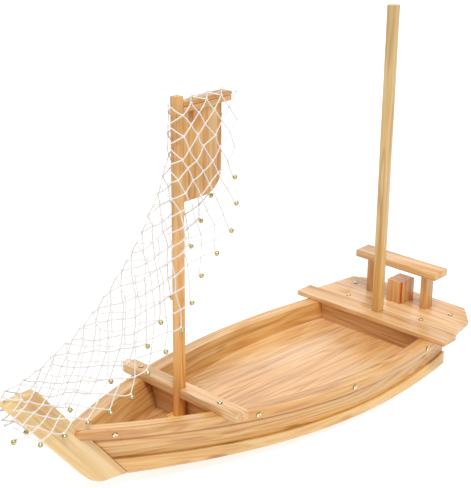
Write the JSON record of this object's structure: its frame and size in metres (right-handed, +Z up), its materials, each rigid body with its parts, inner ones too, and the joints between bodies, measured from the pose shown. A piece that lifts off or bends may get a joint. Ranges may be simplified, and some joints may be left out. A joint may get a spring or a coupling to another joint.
{
  "type": "wooden serving boat",
  "caption": "Flat-bottomed wooden serving boat with raked stem, thwart, stern deck with a rack, lift-out masts, a small sail board and a cord net with bells.",
  "frame": {"origin": "on the table under the boat, halfway between the stem's tip and the aft edge of the stern deck, in the centre plane", "axes": "+X to the bow, +Y to port, +Z up"},
  "size_m": [0.8, 0.275, 0.5351],
  "materials": {
    "pine": "clear satin lacquer",
    "pale_pine": "clear satin lacquer",
    "warm_pine": "clear satin lacquer",
    "brass": "polished",
    "cord": "twisted white cord"
  },
  "bodies": {
    "hull": {"bottom_plank": "pine", "upper_strake_port": "pine", "upper_strake_starboard": "pine", "garboard_port": "pale_pine", "garboard_starboard": "pale_pine", "wale_port": "pine", "wale_starboard": "pine", "stem": "warm_pine", "transom": "pine", "fore_foot": "warm_pine", "aft_foot": "warm_pine", "main_floor": "pale_pine", "fore_floor": "pale_pine", "fore_bulkhead": "warm_pine", "aft_bulkhead": "warm_pine", "thwart": "pine", "stern_beam": "pine", "aft_deck": "pale_pine", "rack_post_port": "pine", "rack_post_starboard": "pine", "rack_crossbar": "warm_pine", "stern_block": "warm_pine", "fore_mast_step": "warm_pine", "aft_mast_step": "warm_pine", "rail_screw_port_1": "brass", "rail_screw_port_2": "brass", "rail_screw_port_3": "brass", "rail_screw_port_4": "brass", "rail_screw_starboard_1": "brass", "rail_screw_starboard_2": "brass", "rail_screw_starboard_3": "brass", "rail_screw_starboard_4": "brass", "thwart_screw_1": "brass", "thwart_screw_2": "brass", "deck_screw_1": "brass", "deck_screw_2": "brass", "deck_screw_3": "brass", "deck_screw_4": "brass", "bell_04": "brass", "bell_05": "brass", "bell_06": "brass", "bell_07": "brass", "bell_08": "brass", "bell_09": "brass", "bell_10": "brass", "bell_11": "brass", "bell_12": "brass", "bell_15": "brass", "bell_16": "brass", "bell_17": "brass"},
    "fore_mast": {"fore_mast": "warm_pine", "yard": "warm_pine", "sail_panel": "pale_pine", "net": "cord", "bell_01": "brass", "bell_02": "brass", "bell_03": "brass", "bell_13": "brass", "bell_14": "brass"},
    "aft_mast": {"aft_mast": "pale_pine"}
  },
  "joints": [
    {"name": "fore_mast_lift", "type": "slide", "parent": "hull", "child": "fore_mast", "axis": [0, 0, 1], "range_m": [0, 0.06], "deforming": ["net"]},
    {"name": "aft_mast_lift", "type": "slide", "parent": "hull", "child": "aft_mast", "axis": [0, 0, 1], "range_m": [0, 0.06]}
  ]
}
